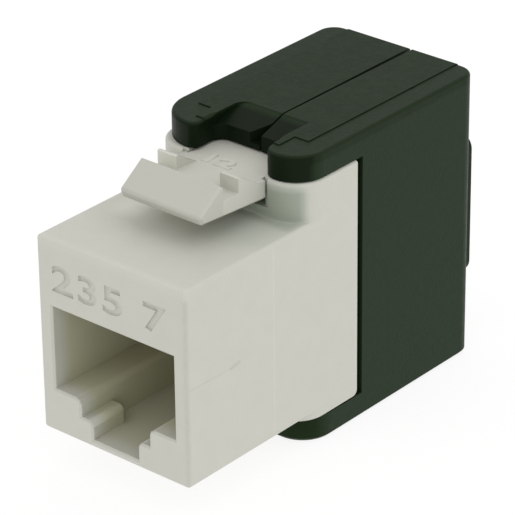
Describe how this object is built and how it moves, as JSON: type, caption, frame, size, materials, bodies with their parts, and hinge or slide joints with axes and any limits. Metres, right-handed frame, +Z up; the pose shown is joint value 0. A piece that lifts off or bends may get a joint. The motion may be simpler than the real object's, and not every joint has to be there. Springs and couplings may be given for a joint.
{
  "type": "keystone jack",
  "caption": "Tool-less snap-in data outlet module: plug port in front, spring latch on top, and hinged rear doors that press the wires into their blades.",
  "frame": {"origin": "centre of the footprint, on the surface that the doors' undersides stand on", "axes": "+Z up; +Y from the port's front face towards the cable entry; +X to the right as seen from the front"},
  "size_m": [0.0144, 0.035, 0.0244],
  "materials": {
    "white_plastic": "moulded, satin",
    "latch_plastic": "moulded, satin",
    "carrier_plastic": "moulded",
    "contact_metal": "gold plated",
    "board": "solder mask",
    "block_plastic": "moulded",
    "blade_metal": "tin plated",
    "left_door_plastic": "moulded, fine texture",
    "right_door_plastic": "moulded, fine texture"
  },
  "bodies": {
    "housing": {"front_housing": "white_plastic", "contact_carrier": "carrier_plastic", "circuit_board": "board", "wire_block": "block_plastic", "contact_1": "contact_metal", "contact_2": "contact_metal", "contact_3": "contact_metal", "contact_4": "contact_metal", "contact_5": "contact_metal", "contact_6": "contact_metal", "contact_7": "contact_metal", "contact_8": "contact_metal", "idc_blade_1": "blade_metal", "idc_blade_2": "blade_metal", "idc_blade_3": "blade_metal", "idc_blade_4": "blade_metal", "idc_blade_5": "blade_metal", "idc_blade_6": "blade_metal", "idc_blade_7": "blade_metal", "idc_blade_8": "blade_metal"},
    "latch": {"latch_arm": "latch_plastic"},
    "left_door": {"left_door": "left_door_plastic"},
    "right_door": {"right_door": "right_door_plastic"}
  },
  "joints": [
    {"name": "left_door_hinge", "type": "hinge", "parent": "housing", "child": "left_door", "pos_m": [-0.0052, -0.00235, 0.02217], "axis": [0, 0, 1], "range_deg": [0, 95]},
    {"name": "right_door_hinge", "type": "hinge", "parent": "housing", "child": "right_door", "pos_m": [0.0052, -0.00235, 0.02217], "axis": [0, 0, -1], "range_deg": [0, 95]},
    {"name": "latch_press", "type": "hinge", "parent": "housing", "child": "latch", "pos_m": [0, -0.0015, 0.02112], "axis": [1, 0, 0], "range_deg": [0, 7], "stiffness_Nm_per_rad": 0.1}
  ]
}
